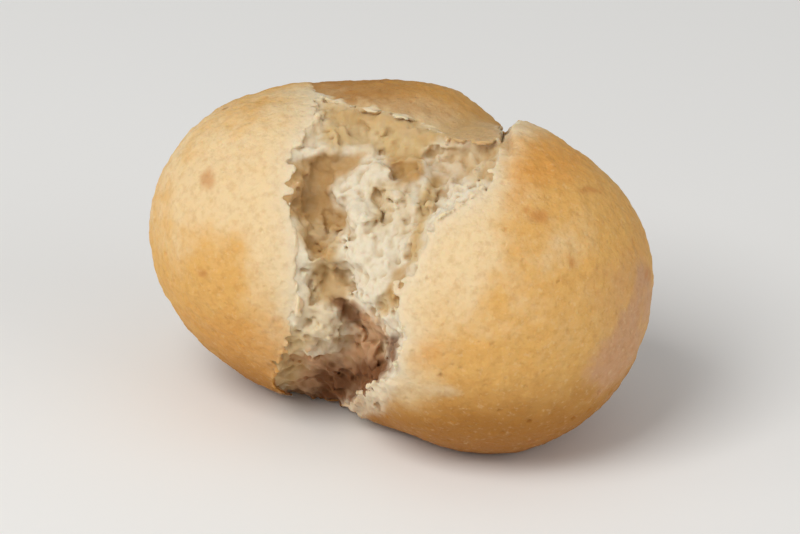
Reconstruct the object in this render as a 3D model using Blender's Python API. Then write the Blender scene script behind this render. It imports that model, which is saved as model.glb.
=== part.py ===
"""A fried cheese-dough ball pulled open by hand: two crusted halves that still hang together at the
back and underneath, with the torn crumb showing in the wedge between them.

Metres, +Z up. The ball rests on small flat spots, and its origin is on the floor under the middle of
its bounding box. The tear faces -Y, tipped upwards, and the halves part along X.
"""

import math

import bmesh
import bpy
from mathutils import Vector, noise

# --- Driving dimensions ---------------------------------------------------------------------------

RIGHT_RADIUS = 0.0205         # roundness of the right half
LEFT_RADIUS = 0.0201
HINGE_RADIUS = 0.0204         # the dough behind the tear that joins both halves
HINGE_STRETCH = 1.12          # it is pulled longer along the line between the halves
HALF_SPREAD = 0.0109          # how far each half sits from the heart of the ball, sideways
HALF_TURN = 0.0065            # the left half has swung back by this, and the right half forwards
HALF_TIP = 0.0003             # the left half sits this much higher, and the right half lower
HINGE_PLACE = (-0.0022, 0.0050, 0.0006)  # the middle of that dough, from the heart of the ball
HEART_HEIGHT = 0.0194         # the heart of the ball above the floor, with its seat pressed flat
BLEND_POWER = 30              # a lower power rounds the valleys between the lobes more

TEAR_TILT = math.radians(25)  # the tear faces this much above the level
TEAR_REACH = 0.045            # the cutter goes this far out, clear of the crust
TEAR_RAGGED = 0.0008          # how far the torn edges wander
EDGES_APART = 5.3             # keeps the wander of one edge unlike that of the other
CRUMB_DEPTH = 0.0140          # the crumb in the middle of the tear, out from the heart of the ball
CRUMB_LEAN = (0.41, 0.55)     # it comes out further towards the right and towards the top
CRUMB_FALL = 38.5             # and falls back this fast towards the top and the foot, per metre
CRUMB_GRAIN = 0.0008          # coarse relief of the crumb
GRAIN_LENGTH = 0.0035

# The tear's two edges at stations from its foot to its top: height, left edge, right edge.
TEAR_STATIONS = (
    (-0.0198, -0.0080, -0.0066),
    (-0.0180, -0.0106, -0.0070),
    (-0.0158, -0.0158, -0.0044),
    (-0.0130, -0.0156, -0.0006),
    (-0.0105, -0.0145, -0.0001),
    (-0.0075, -0.0132, 0.0003),
    (-0.0040, -0.0128, -0.0001),
    (0.0000, -0.0126, 0.0019),
    (0.0040, -0.0132, 0.0035),
    (0.0080, -0.0141, 0.0087),
    (0.0120, -0.0134, 0.0113),
    (0.0150, -0.0123, 0.0119),
    (0.0156, -0.0120, 0.0060),
    (0.0170, -0.0112, 0.0029),
    (0.0190, -0.0104, -0.0020),
    (0.0213, -0.0098, -0.0096),
)

# Lumps and hollows of the crumb: sideways, height, spread, how far it stands out.
CRUMB_FORMS = (
    (-0.0006, 0.0082, 0.0070, 0.0106),    # the big pale lump in the middle
    (-0.0002, 0.0103, 0.0072, -0.0115),   # it falls away above, towards the peeled band
    (0.0006, -0.0049, 0.0061, 0.0111),    # its lower end, against the right half
    (-0.0104, 0.0085, 0.0042, -0.0036),   # the hollow beside it
    (-0.0080, -0.0038, 0.0023, -0.0016),  # the dent below the hollow
    (-0.0125, -0.0084, 0.0065, 0.0082),   # the lump on the left edge
    (-0.0019, -0.0157, 0.0056, 0.0113),   # crumb behind the lip at the foot
    (0.0080, 0.0139, 0.0037, -0.0036),    # the gap under the hinge's edge
)

# Swellings and flats of the crust: the way each faces from the heart, its height, its spread (rad).
CRUST_FORMS = (
    ((-0.96, 0.08, 0.20), 0.0008, 0.35),     # left cheek
    ((-0.80, 0.22, 0.50), 0.0005, 0.30),     # left shoulder
    ((-0.88, -0.20, -0.44), -0.0019, 0.36),  # the left half draws in below its cheek
    ((-0.51, 0.36, 0.78), -0.0009, 0.24),    # flat between the left half and the hinge
    ((-0.47, 0.28, -0.84), 0.0005, 0.30),    # seat of the left half
    ((0.28, 0.40, 0.87), 0.0012, 0.28),      # top of the hinge
    ((0.70, 0.30, 0.64), 0.0010, 0.11),      # torn shoulder of the right half
    ((0.80, 0.20, 0.56), -0.0004, 0.20),     # flatter below the shoulder
    ((0.86, -0.17, -0.40), -0.0005, 0.35),   # right flank
    ((-0.17, -0.42, -0.89), 0.0020, 0.22),   # lip at the foot of the tear
)

CRUST_WAVE = 0.0003           # long, low waves of the crust
WAVE_LENGTH = 0.0120

ICO_STEPS = 5                 # 5,120 triangles before the cuts
TEAR_ROWS = 40
TEAR_COLUMNS = 24
SEAT_BLOCK = 0.16             # side of the block that presses the resting spots flat
SHARP_FROM = math.radians(40)  # the torn edges stay sharp

CRUST_COLOUR = (0.66, 0.38, 0.14)
CRUST_ROUGHNESS = 0.62

HEART = Vector((0, 0, HEART_HEIGHT))
LEFT_PLACE = Vector((-HALF_SPREAD, HALF_TURN, HALF_TIP))
RIGHT_PLACE = Vector((HALF_SPREAD, -HALF_TURN, -HALF_TIP))
PULL = (RIGHT_PLACE - LEFT_PLACE).normalized()

RIGHTWARD = Vector((1, 0, 0))
UPWARD = Vector((0, math.sin(TEAR_TILT), math.cos(TEAR_TILT)))
OUTWARD = Vector((0, -math.cos(TEAR_TILT), math.sin(TEAR_TILT)))


# --- Helpers --------------------------------------------------------------------------------------


def clear_scene():
    for obj in list(bpy.data.objects):
        bpy.data.objects.remove(obj, do_unlink=True)


def material(name, colour, roughness):
    made = bpy.data.materials.new(name)
    made.use_nodes = True
    shader = made.node_tree.nodes["Principled BSDF"]
    shader.inputs["Base Color"].default_value = (*colour, 1)
    shader.inputs["Roughness"].default_value = roughness
    shader.inputs["Metallic"].default_value = 0
    made.diffuse_color = (*colour, 1)
    return made


def object_from(name, shape):
    """A new object that holds the finished bmesh, with its faces pointing out."""
    mesh = bpy.data.meshes.new(name)
    bmesh.ops.recalc_face_normals(shape, faces=shape.faces)
    shape.to_mesh(mesh)
    shape.free()
    obj = bpy.data.objects.new(name, mesh)
    bpy.context.scene.collection.objects.link(obj)
    return obj


def as_cutter(obj):
    obj.hide_render = True
    obj.display_type = "WIRE"
    return obj


def add_cut(obj, cutter):
    cut = obj.modifiers.new(f"cut by {cutter.name}", "BOOLEAN")
    cut.operation = "DIFFERENCE"
    cut.solver = "EXACT"
    cut.object = cutter


# --- The crust ------------------------------------------------------------------------------------


def exit_distance(way, place, radius, stretch=1.0):
    """How far from the heart a line this way leaves a lobe, which may be stretched along the pull."""
    squeeze = 1 / stretch - 1
    way = way + PULL * (way.dot(PULL) * squeeze)
    place = place + PULL * (place.dot(PULL) * squeeze)
    along = way.dot(place)
    size = way.length_squared
    spare = along * along - size * (place.length_squared - radius * radius)
    return (along + math.sqrt(spare)) / size


def crust_distance(way):
    """Distance from the heart to the crust: the three lobes melted together, then swelled."""
    lobes = (
        exit_distance(way, LEFT_PLACE, LEFT_RADIUS),
        exit_distance(way, RIGHT_PLACE, RIGHT_RADIUS),
        exit_distance(way, Vector(HINGE_PLACE), HINGE_RADIUS, HINGE_STRETCH),
    )
    widest = max(lobes)
    melted = widest * sum((lobe / widest) ** BLEND_POWER for lobe in lobes) ** (1 / BLEND_POWER)
    for facing, height, spread in CRUST_FORMS:
        melted += height * math.exp(-((way.angle(Vector(facing)) / spread) ** 2))
    return melted + CRUST_WAVE * noise.noise(way * melted / WAVE_LENGTH)


def crust_ball():
    ball = bmesh.new()
    bmesh.ops.create_icosphere(ball, subdivisions=ICO_STEPS, radius=1)
    for vert in ball.verts:
        way = vert.co.normalized()
        vert.co = way * crust_distance(way)
    obj = object_from("dough_ball", ball)
    obj.location = HEART
    return obj


# --- The tear -------------------------------------------------------------------------------------


def tear_edges(height):
    """Left and right edge of the tear at this height, eased between the stations and ragged."""
    below = TEAR_STATIONS[0]
    for above in TEAR_STATIONS[1:]:
        if height <= above[0]:
            break
        below = above
    share = min((height - below[0]) / (above[0] - below[0]), 1.0)
    eased = share * share * (3 - 2 * share)
    edges = []
    for side in (1, 2):
        wander = TEAR_RAGGED * noise.noise(Vector((height / GRAIN_LENGTH, EDGES_APART * side, 0)))
        edges.append(below[side] + (above[side] - below[side]) * eased + wander)
    return edges


def crumb_out(side, height):
    """How far the torn crumb stands out from the heart of the ball."""
    out = CRUMB_DEPTH + CRUMB_LEAN[0] * side + CRUMB_LEAN[1] * height
    out -= CRUMB_FALL * height * height
    for at_side, at_height, spread, stand in CRUMB_FORMS:
        far = ((side - at_side) ** 2 + (height - at_height) ** 2) / spread**2
        out += stand * math.exp(-far)
    return out + CRUMB_GRAIN * noise.noise(Vector((side, height, 0)) / GRAIN_LENGTH)


def grid_faces(shape, rows):
    for lower, upper in zip(rows, rows[1:]):
        for column in range(len(lower) - 1):
            shape.faces.new((lower[column], lower[column + 1], upper[column + 1], upper[column]))


def grid_rim(rows):
    """The outer points of a grid in order round it."""
    left = [row[0] for row in rows[-2:0:-1]]
    right = [row[-1] for row in rows[1:-1]]
    return rows[0] + right + rows[-1][::-1] + left


def tear_cutter():
    """The opened wedge: crumb relief inside, straight sides, and a lid far outside the crust."""
    cutter = bmesh.new()
    crumb, lid = [], []
    foot, top = TEAR_STATIONS[0][0], TEAR_STATIONS[-1][0]
    for row in range(TEAR_ROWS + 1):
        height = foot + (top - foot) * row / TEAR_ROWS
        left, right = tear_edges(height)
        crumb.append([])
        lid.append([])
        for column in range(TEAR_COLUMNS + 1):
            side = left + (right - left) * column / TEAR_COLUMNS
            across = HEART + RIGHTWARD * side + UPWARD * height
            crumb[-1].append(cutter.verts.new(across + OUTWARD * crumb_out(side, height)))
            lid[-1].append(cutter.verts.new(across + OUTWARD * TEAR_REACH))
    grid_faces(cutter, crumb)
    grid_faces(cutter, lid)
    inner, outer = grid_rim(crumb), grid_rim(lid)
    for index, point in enumerate(inner):
        after = (index + 1) % len(inner)
        cutter.faces.new((point, inner[after], outer[after], outer[index]))
    return as_cutter(object_from("tear_cutter", cutter))


def seat_cutter():
    """A block whose top is the floor."""
    block = bmesh.new()
    bmesh.ops.create_cube(block, size=SEAT_BLOCK)
    obj = object_from("seat_cutter", block)
    obj.location = (0, 0, -SEAT_BLOCK / 2)
    return as_cutter(obj)


def dough_ball():
    ball = crust_ball()
    add_cut(ball, tear_cutter())
    add_cut(ball, seat_cutter())
    ball.data.shade_smooth()
    ball.data.set_sharp_from_angle(angle=SHARP_FROM)
    ball.data.materials.append(material("fried_crust", CRUST_COLOUR, CRUST_ROUGHNESS))


clear_scene()
dough_ball()
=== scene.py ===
"""A fried cheese-dough ball pulled open by hand, with its browned crust and its torn, airy crumb.

The crust is three lobes of dough melted together, as in the frame's solid. The tear is carved into
it as a field of distances, roughened into clumps and pores, and then turned into a mesh. All sizes
are in metres.
"""

import math

import bpy
import numpy as np
import openvdb
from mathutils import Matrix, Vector, kdtree, noise


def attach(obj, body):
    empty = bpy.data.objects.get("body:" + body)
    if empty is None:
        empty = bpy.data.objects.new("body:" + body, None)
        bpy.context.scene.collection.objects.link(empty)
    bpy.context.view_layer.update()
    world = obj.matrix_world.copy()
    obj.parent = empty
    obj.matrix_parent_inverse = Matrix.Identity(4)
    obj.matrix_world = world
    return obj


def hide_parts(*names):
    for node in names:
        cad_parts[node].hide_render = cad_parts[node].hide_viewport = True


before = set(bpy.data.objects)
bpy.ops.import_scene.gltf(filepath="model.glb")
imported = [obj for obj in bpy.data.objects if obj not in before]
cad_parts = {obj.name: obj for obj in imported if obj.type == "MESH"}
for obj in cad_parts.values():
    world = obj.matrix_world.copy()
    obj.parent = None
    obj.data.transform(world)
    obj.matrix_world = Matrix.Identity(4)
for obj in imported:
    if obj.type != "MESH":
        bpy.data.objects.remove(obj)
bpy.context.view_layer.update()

bl_info = {
    "name": "Torn fried dough ball",
    "version": (1, 0, 0),
    "blender": (4, 5, 0),
    "location": "3D View > Sidebar > Dough ball",
    "description": "Builds a fried dough ball that was pulled open, and a small studio round it",
    "category": "Object",
}

NODE = "dough_ball"

# --- The dough's form, shared with the solid -------------------------------------------------------

RIGHT_RADIUS = 0.0205         # roundness of the right half
LEFT_RADIUS = 0.0201
HINGE_RADIUS = 0.0204         # the dough behind the tear that joins both halves
HINGE_STRETCH = 1.12          # it is pulled longer along the line between the halves
HALF_SPREAD = 0.0109          # how far each half sits from the heart of the ball, sideways
HALF_TURN = 0.0065            # the left half has swung back by this, and the right half forwards
HALF_TIP = 0.0003             # the left half sits this much higher, and the right half lower
HINGE_PLACE = (-0.0022, 0.0050, 0.0006)
HEART_HEIGHT = 0.0194         # the heart of the ball above the floor
BLEND_POWER = 30              # a lower power rounds the valleys between the lobes more
TEAR_TILT = math.radians(25)  # the tear faces this much above the level

# Swellings and flats of the crust: the way each faces from the heart, its height, its spread (rad).
CRUST_FORMS = (
    ((-0.96, 0.08, 0.20), 0.0008, 0.35),     # left cheek
    ((-0.80, 0.22, 0.50), 0.0005, 0.30),     # left shoulder
    ((-0.88, -0.20, -0.44), -0.0019, 0.36),  # the left half draws in below its cheek
    ((-0.51, 0.36, 0.78), -0.0009, 0.24),    # flat between the left half and the hinge
    ((-0.47, 0.28, -0.84), 0.0005, 0.30),    # seat of the left half
    ((0.28, 0.40, 0.87), 0.0012, 0.28),      # top of the hinge
    ((0.70, 0.30, 0.64), 0.0010, 0.11),      # torn shoulder of the right half
    ((0.80, 0.20, 0.56), -0.0004, 0.20),     # flatter below the shoulder
    ((0.86, -0.17, -0.40), -0.0005, 0.35),   # right flank
    ((-0.17, -0.42, -0.89), 0.0020, 0.22),   # lip at the foot of the tear
)

# The torn edge of each half's crust, from the foot of the tear to its top: height, sideways.
LEFT_EDGE = (
    (-0.0198, -0.0080), (-0.0180, -0.0106), (-0.0168, -0.0140), (-0.0155, -0.0162),
    (-0.0140, -0.0161), (-0.0120, -0.0152), (-0.0105, -0.0145), (-0.0090, -0.0137),
    (-0.0075, -0.0132), (-0.0057, -0.0130), (-0.0037, -0.0128), (-0.0023, -0.0128),
    (-0.0006, -0.0126), (0.0015, -0.0128), (0.0035, -0.0130), (0.0058, -0.0132),
    (0.0079, -0.0136), (0.0091, -0.0136), (0.0108, -0.0132), (0.0135, -0.0132),
    (0.0155, -0.0120), (0.0180, -0.0108), (0.0213, -0.0098),
)
RIGHT_EDGE = (
    (-0.0198, -0.0066), (-0.0179, -0.0071), (-0.0165, -0.0058), (-0.0159, -0.0043),
    (-0.0142, -0.0028), (-0.0128, -0.0003), (-0.0116, -0.0004), (-0.0097, 0.0002),
    (-0.0080, 0.0005), (-0.0065, -0.0003), (-0.0048, -0.0003), (-0.0028, 0.0001),
    (-0.0014, 0.0014), (0.0009, 0.0023), (0.0026, 0.0028), (0.0043, 0.0037),
    (0.0054, 0.0048), (0.0074, 0.0080), (0.0085, 0.0094), (0.0099, 0.0108),
    (0.0122, 0.0114), (0.0139, 0.0121), (0.0151, 0.0119), (0.0170, 0.0128),
)
# The torn edge of the hinge's crust above the tear: sideways, height.
TOP_EDGE = (
    (-0.0105, 0.0215), (-0.0077, 0.0202), (-0.0062, 0.0196), (-0.0020, 0.0190),
    (0.0010, 0.0182), (0.0035, 0.0166), (0.0060, 0.0156), (0.0085, 0.0153),
    (0.0110, 0.0153), (0.0135, 0.0158),
)

# Hollows of the torn crumb and clumps that stand up from it, in millimetres: how deep, the run of
# the wall, and the outline as places sideways and up. A depth below zero stands up.
CRUMB_FORMS = {
    "left hollow": (2.9, 3.4, (
        (-13.8, 10.2), (-12.0, 10.8), (-9.6, 10.6), (-8.2, 9.7), (-8.7, 8.5), (-7.6, 7.1),
        (-7.2, 5.4), (-9.1, 6.0), (-11.6, 6.2), (-13.4, 6.7), (-14.2, 9.1))),
    "its upper arm": (1.1, 2.2, (
        (-13.0, 11.2), (-11.8, 12.2), (-10.2, 12.7), (-7.1, 12.8), (-4.4, 13.2), (-5.6, 12.0),
        (-7.4, 10.8), (-8.6, 10.0), (-12.0, 10.4), (-14.0, 10.2))),
    "slope below it": (2.2, 2.4, (
        (-13.6, 6.4), (-11.6, 6.2), (-9.1, 6.0), (-7.4, 5.7), (-6.5, 4.3), (-7.0, 3.1), (-8.5, 2.3),
        (-10.2, 1.7), (-11.6, 2.0), (-12.9, 4.0))),
    "split in the slope": (1.3, 1.1, ((-9.5, 6.4), (-8.7, 6.2), (-8.5, 3.6), (-9.3, 3.2))),
    "left crevice": (1.7, 1.4, (
        (-11.9, 3.2), (-10.5, 2.8), (-8.5, 2.0), (-8.6, 0.7), (-10.5, 1.2), (-11.8, 1.9))),
    "clump behind the crevice": (2.0, 2.4, (
        (-10.8, -0.8), (-8.6, 0.0), (-6.6, -0.6), (-6.2, -3.1), (-7.0, -4.4), (-8.7, -5.0),
        (-10.7, -4.2))),
    "gap beside the clump": (0.9, 0.9, ((-7.3, -0.9), (-6.2, -1.1), (-6.1, -3.8), (-7.0, -4.1))),
    "dark pocket": (2.3, 1.4, (
        (-7.8, -4.4), (-6.6, -4.6), (-5.2, -5.4), (-4.4, -6.8), (-4.6, -7.9), (-6.2, -7.4),
        (-7.4, -6.2))),
    "small pocket": (2.0, 1.0, ((-4.7, -7.9), (-3.4, -8.2), (-3.2, -9.3), (-4.6, -9.1))),
    "shaded foot": (2.6, 2.4, (
        (-6.9, -7.4), (-5.1, -7.3), (-3.4, -8.3), (-1.6, -9.2), (-0.6, -12.4), (-2.6, -13.9),
        (-4.6, -15.2), (-6.8, -15.4), (-7.4, -12.4))),
    "gap under the right edge": (2.4, 0.9, (
        (-1.8, -9.0), (-0.6, -9.6), (-0.9, -12.2), (-2.6, -14.4), (-5.0, -16.6), (-6.0, -16.0),
        (-3.0, -12.8))),
    "browned foot": (0.7, 3.0, (
        (-15.4, -10.6), (-12.0, -11.2), (-8.0, -11.6), (-6.5, -15.6), (-8.6, -17.8),
        (-13.6, -16.4))),
    "pale clump": (-1.5, 1.6, (
        (-12.8, -5.2), (-10.8, -4.9), (-8.2, -6.2), (-6.9, -8.4), (-7.4, -10.8), (-10.2, -11.2),
        (-12.4, -8.8))),
    "white lump": (-1.1, 2.4, (
        (-2.6, 14.0), (-5.0, 12.2), (-8.0, 9.6), (-8.2, 8.2), (-6.6, 6.0), (-6.2, 4.0), (-7.4, 1.4),
        (-5.8, -0.8), (-5.6, -3.4), (-4.4, -5.2), (-2.2, -3.2), (-0.6, -0.4), (0.4, 3.0),
        (-0.4, 7.6), (-1.8, 10.4))),
    "crack under the right edge": (2.4, 0.5, (
        (-0.8, -7.8), (0.0, -8.2), (-0.4, -9.8), (-1.5, -10.0), (-1.0, -9.0))),
    "groove in the lump": (1.5, 1.4, ((-2.8, 9.0), (-1.8, 9.2), (-1.7, 5.4), (-2.7, 5.2))),
    "pit in its shoulder": (1.6, 1.7, (
        (-1.8, 12.3), (0.0, 12.3), (2.1, 12.0), (1.4, 10.4), (-0.3, 9.8), (-1.4, 10.8))),
    "right crevice": (1.4, 1.8, (
        (4.3, 8.8), (3.7, 7.0), (3.2, 4.8), (2.6, 2.3), (1.8, 0.8), (0.9, 0.8), (1.3, 2.5),
        (1.7, 4.8), (2.8, 7.6))),
    "its deep end": (1.0, 0.9, ((2.6, 3.4), (2.4, 2.0), (1.6, 0.8), (1.0, 1.0), (1.5, 2.6))),
    "lower right crevice": (2.2, 1.3, (
        (1.0, -1.8), (0.5, -3.7), (-0.4, -5.4), (-2.0, -6.3), (-2.2, -4.5), (-0.8, -2.9))),
    "crumb under the right edge": (1.6, 1.8, (
        (3.4, 13.4), (7.6, 14.4), (11.6, 14.4), (11.0, 10.6), (8.8, 8.4), (5.0, 6.4), (3.8, 9.6))),
    "gap below the hinge": (1.3, 0.8, (
        (3.4, 13.5), (5.4, 14.7), (7.9, 15.1), (11.6, 15.0), (11.4, 14.3), (8.0, 14.2), (5.6, 13.8),
        (3.8, 12.8))),
    "gap beside the right edge": (2.0, 1.0, (
        (10.7, 13.9), (12.0, 13.8), (11.7, 12.2), (11.0, 10.2), (10.2, 10.2), (10.8, 12.0))),
    "peeled band": (-0.35, 6.0, (
        (-10.0, 19.4), (-5.6, 18.4), (0.6, 17.0), (4.6, 15.4), (2.4, 13.0), (-2.2, 13.4),
        (-4.2, 14.6), (-10.6, 14.4), (-12.2, 16.6))),
}
CRUMB_DROP = 0.0015           # the crumb lies this far under the stretched skin elsewhere
DROP_RUN = 0.0030             # and gets there over this run from the crust's edge
WALL_RUN = 0.0021             # the hollows start this far from the edge
EDGE_DROP = 0.00020           # the crust's edge stands this proud of the crumb
TOP_RUN = 0.0030              # but fades into it under the hinge
CLUMP_ROOM = 0.0030           # clumps may stand this far above the crust's own line
ROOM_RUN = 0.0010             # once they are this far inside the edge
TEAR_BACK = -0.0070           # the tear lies in front of this

# The crumb runs flush into the crust at the left foot and the top left corner, and nearly so along
# a stretch between them. Each pair says where that starts and where it is full.
FLUSH_FOOT = (-0.0090, -0.0130)     # height
FLUSH_CORNER = (0.0122, 0.0145)     # height
FLUSH_ENDS = (-0.0055, -0.0085)     # sideways, at both ends
FLUSH_STRETCH = (0.0065, 0.0035)    # height, between them
FLUSH_BETWEEN = (-0.0090, -0.0115)  # sideways, between them

# Where the dough is coloured otherwise, several of them painted shade and shadow. Each patch says how
# strong, the fade at its outline in millimetres, and the outline as places sideways and up.
TINTS = {
    # Tan: the first three patches are the skin's own tan where the crust peeled. The others are
    # painted shade beside the crevices and the right edge, on the slope and clump below the left
    # hollow, at the left foot and in and beside the lump's groove, and the eighth warms the pale
    # clump.
    "tan": (
        (0.95, 1.5, (
            (-9.6, 18.4), (-8.8, 19.9), (-5.4, 19.9), (-2.0, 19.6), (1.4, 18.5), (4.4, 17.3),
            (6.4, 16.5), (10.4, 16.2), (10.8, 15.2), (5.2, 15.1), (3.7, 13.9), (2.0, 12.5),
            (0.3, 12.2), (-2.0, 13.1), (-3.4, 14.4), (-5.4, 14.0), (-8.8, 14.2), (-10.5, 15.1))),
        (0.45, 1.4, ((-14.6, 20.4), (-9.0, 20.6), (-9.0, 14.0), (-14.6, 13.4))),
        (0.25, 1.0, (
            (4.8, 18.0), (8.0, 18.6), (11.5, 18.0), (12.0, 14.6), (8.0, 14.2), (5.0, 14.4))),
        (0.55, 0.9, ((5.0, 14.2), (8.0, 15.0), (12.4, 14.8), (12.0, 11.0), (9.8, 9.4), (6.8, 12.4))),
        (0.70, 0.8, (
            (-12.8, 6.0), (-10.5, 6.0), (-8.2, 5.2), (-8.0, 2.8), (-7.6, 0.0), (-6.4, -1.0),
            (-6.2, -3.6), (-7.2, -5.4), (-9.6, -5.0), (-11.4, -4.2), (-11.2, -1.0), (-11.6, 1.6),
            (-13.0, 3.4))),
        (0.90, 0.8, (
            (4.6, 10.4), (4.2, 7.6), (3.6, 4.8), (2.8, 2.0), (1.6, 0.2), (0.4, 0.6), (1.0, 3.0),
            (1.6, 6.0), (2.2, 9.0))),
        (0.80, 0.7, (
            (0.8, -1.6), (0.6, -3.6), (-0.6, -5.6), (-2.6, -6.6), (-3.0, -4.6), (-1.4, -2.8))),
        (0.40, 1.2, (
            (-12.8, -4.6), (-10.4, -4.6), (-7.0, -6.6), (-6.4, -9.6), (-8.4, -11.8),
            (-12.8, -9.8))),
        (0.90, 1.2, (
            (-15.4, -7.4), (-12.4, -7.8), (-10.8, -9.6), (-11.2, -12.6), (-12.8, -15.4),
            (-17.0, -15.5), (-17.0, -11.0))),
        (0.55, 0.9, ((-3.6, 9.8), (-1.0, 9.8), (-0.4, 6.0), (-1.6, 4.4), (-3.4, 5.0))),
        (0.45, 1.2, ((-0.6, 9.4), (1.8, 9.6), (2.0, 2.0), (-0.4, 3.4))),
    ),
    # Hollow: painted warm shade, standing for the shade and the light bounced inside the dough, in
    # the hollows, pits, crevices and gaps.
    "hollow": (
        (0.92, 0.5, (
            (-14.2, 12.2), (-12.4, 13.1), (-10.2, 13.5), (-7.7, 13.5), (-4.9, 13.8), (-3.8, 13.7),
            (-5.6, 11.9), (-7.8, 10.5), (-8.5, 8.8), (-8.0, 7.0), (-6.6, 6.2), (-6.2, 4.8),
            (-7.4, 4.0), (-9.0, 4.2), (-10.4, 5.4), (-13.8, 5.6), (-14.8, 7.0), (-15.2, 9.6))),
        (0.75, 1.0, ((5.0, 17.4), (8.0, 17.8), (11.6, 17.4), (12.4, 14.4), (8.0, 14.4), (5.2, 14.8))),
        (0.80, 0.6, (
            (1.0, 0.2), (-0.4, -0.6), (-1.6, -3.4), (-1.3, -5.2), (0.0, -4.8), (0.9, -2.4))),
        (0.45, 0.7, ((2.8, 6.0), (3.0, 3.0), (1.7, 0.7), (0.7, 1.2), (1.3, 4.2))),
        (0.34, 1.2, ((3.0, 15.6), (8.5, 15.2), (9.4, 11.6), (7.0, 9.4), (4.0, 10.8))),
        (0.90, 0.7, ((-11.8, 3.0), (-9.4, 2.7), (-8.4, 1.4), (-8.8, 0.2), (-11.0, 1.2))),
        (0.55, 0.8, (
            (-10.5, 0.2), (-7.0, 0.3), (-6.0, -1.4), (-6.0, -3.7), (-7.2, -4.4), (-9.6, -4.2),
            (-10.6, -2.0))),
        (0.40, 0.8, ((-12.6, 6.0), (-8.4, 5.4), (-8.0, 2.8), (-9.6, 2.6), (-11.9, 3.1))),
        (0.50, 1.2, ((-15.0, -11.0), (-11.0, -11.0), (-9.5, -13.5), (-12.0, -16.5), (-16.0, -15.5))),
        (0.40, 0.8, (
            (-9.6, 19.0), (-2.0, 18.6), (2.0, 17.2), (5.0, 15.6), (4.4, 14.6), (-2.0, 17.2),
            (-8.6, 17.8))),
        (1.0, 0.8, (
            (-1.4, 12.8), (0.4, 12.9), (2.6, 12.6), (3.0, 11.2), (1.6, 9.9), (-0.4, 9.7),
            (-1.2, 10.8))),
        (0.60, 0.8, (
            (8.6, 14.8), (12.2, 14.8), (12.2, 12.4), (10.8, 10.4), (9.8, 10.6), (10.0, 12.8))),
    ),
    # Foot: darker mauve crumb low in the tear, partly its own colour and partly painted shade where
    # the lump and the right half keep the light off. The second patch paints the dark pocket.
    "foot": (
        (0.95, 1.2, (
            (-13.4, -11.0), (-10.6, -10.4), (-8.2, -11.0), (-6.3, -9.8), (-6.0, -7.2), (-5.2, -6.2),
            (-3.8, -6.2), (-1.6, -8.2), (-1.0, -12.6), (-4.0, -15.6), (-6.6, -17.2), (-9.0, -21.4),
            (-18.6, -20.0), (-13.0, -15.0), (-12.2, -12.6))),
        (0.95, 0.4, (
            (-8.5, -4.4), (-7.4, -4.0), (-6.2, -4.4), (-5.2, -5.4), (-4.6, -6.8), (-6.0, -7.4),
            (-7.0, -7.0), (-7.5, -6.0))),
    ),
    # Crumb shadow: painted shadow at the foot of the tear, under the right edge and in the dark
    # pocket, over crumb that is a little darker there.
    "crumb_shadow": (
        (0.95, 1.8, (
            (-11.6, -15.4), (-10.4, -12.8), (-6.5, -12.4), (-3.6, -11.8), (-1.6, -10.0),
            (-0.6, -12.4), (-3.6, -15.4), (-6.6, -17.4), (-9.0, -22.0), (-18.0, -22.0))),
        (0.80, 0.6, (
            (-1.2, -8.4), (-0.1, -8.8), (-0.4, -11.4), (-1.4, -13.4), (-3.4, -15.0), (-5.4, -16.8),
            (-7.2, -16.0), (-5.4, -13.8), (-3.4, -12.8), (-2.2, -11.2), (-1.7, -9.6))),
        (0.72, 0.5, (
            (-8.2, -4.6), (-7.2, -4.3), (-6.2, -4.7), (-4.9, -6.0), (-4.9, -7.5), (-6.2, -7.4),
            (-7.2, -6.4))),
        (0.35, 1.0, ((-4.8, -9.4), (-1.6, -9.4), (-1.6, -12.6), (-4.8, -12.8))),
    ),
    "lip": (
        (1.0, 0.8, (
            (-0.6, -10.8), (0.3, -11.9), (-0.4, -14.2), (-1.4, -17.0), (-2.6, -18.7), (-6.2, -19.4),
            (-8.0, -18.8), (-4.6, -16.8), (-3.8, -15.2), (-2.1, -13.8), (-0.5, -12.5))),
    ),
    "blush": (
        (1.0, 1.6, (
            (29.6, 0.6), (31.8, -4.0), (28.6, -12.4), (24.6, -15.6), (22.4, -13.6), (24.6, -9.0),
            (27.6, -4.6), (28.4, -1.0))),
        (0.40, 2.0, ((24.8, -1.0), (29.6, 1.4), (28.6, -8.6), (24.4, -8.6))),
    ),
}

# How the crust is toasted: sideways, height, reach both ways in millimetres, and how brown. Below
# zero is paler. The pale spot at 5.6 sideways and -15.5 up is a painted highlight, a glossy glint.
TOASTING_AND_HIGHLIGHT = (
    (-24.5, -7.0, 8.5, 7.0, 0.40), (-24.2, 9.8, 7.6, 7.6, -0.93), (-19.0, 18.0, 8.0, 4.0, -0.22),
    (-16.0, 0.0, 3.5, 7.0, -0.30), (-18.5, -12.5, 8.5, 5.5, 1.15), (18.5, 12.5, 6.0, 4.5, 0.95),
    (13.0, 9.5, 3.4, 4.6, 0.75), (29.5, 3.0, 4.5, 9.0, 0.50), (11.0, -17.0, 10.0, 4.5, 0.25),
    (7.4, 2.0, 5.0, 8.5, -0.80), (20.0, 3.5, 4.0, 4.0, -0.35), (10.0, -23.0, 18.0, 4.5, 0.90),
    (5.6, -15.5, 2.8, 0.9, -0.80), (2.8, -10.5, 3.5, 2.8, 1.00), (-14.0, -9.5, 2.5, 3.5, 0.60),
    (-16.8, -14.6, 3.0, 2.4, 1.50),
)
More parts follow.
